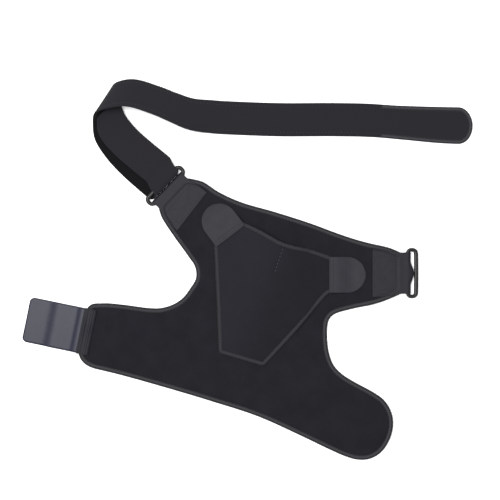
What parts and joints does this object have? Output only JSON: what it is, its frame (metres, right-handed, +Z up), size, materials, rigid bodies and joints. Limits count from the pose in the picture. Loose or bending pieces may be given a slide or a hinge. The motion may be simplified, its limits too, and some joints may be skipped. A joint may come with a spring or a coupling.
{
  "type": "shoulder brace",
  "caption": "Open shoulder brace lying flat: bound foam cloth body with arm band, stitched shoulder flap, loops for the strap, hook plate and a long chest strap threaded through one loop.",
  "frame": {"origin": "middle of the underside of the whole brace as it lies on a table", "axes": "+Z up from the table, +X from the arm band's hook plate towards the free ring end and the strap's tip, +Y towards the chest strap"},
  "size_m": [0.5396, 0.4558, 0.0292],
  "materials": {
    "foam_cloth": "matte knit laminated on foam rubber",
    "edge_tape": "matte folded binding tape",
    "flap_cloth": "matte napped knit",
    "hook_tab": "short hooks on woven tape",
    "webbing": "smooth coated webbing",
    "bar_loop": "black satin paint",
    "hook_plate": "satin moulded hook plate",
    "strap_cloth": "matte looped elastic"
  },
  "bodies": {
    "brace": {"main_panel": "foam_cloth", "panel_binding": "edge_tape", "shoulder_flap": "flap_cloth", "flap_binding": "edge_tape", "flap_tab_left": "hook_tab", "flap_tab_right": "hook_tab", "ring_tab_left": "webbing", "ring_tab_right": "webbing", "ring_left": "bar_loop", "arm_hook_tab": "hook_plate", "chest_strap": "strap_cloth", "strap_binding": "edge_tape"},
    "free_ring": {"ring_right": "bar_loop"}
  },
  "joints": [
    {"name": "free_ring_swing", "type": "hinge", "parent": "brace", "child": "free_ring", "pos_m": [0.19185, -0.0041, 0.00365], "axis": [0, -1, 0], "range_deg": [0, 140]}
  ]
}
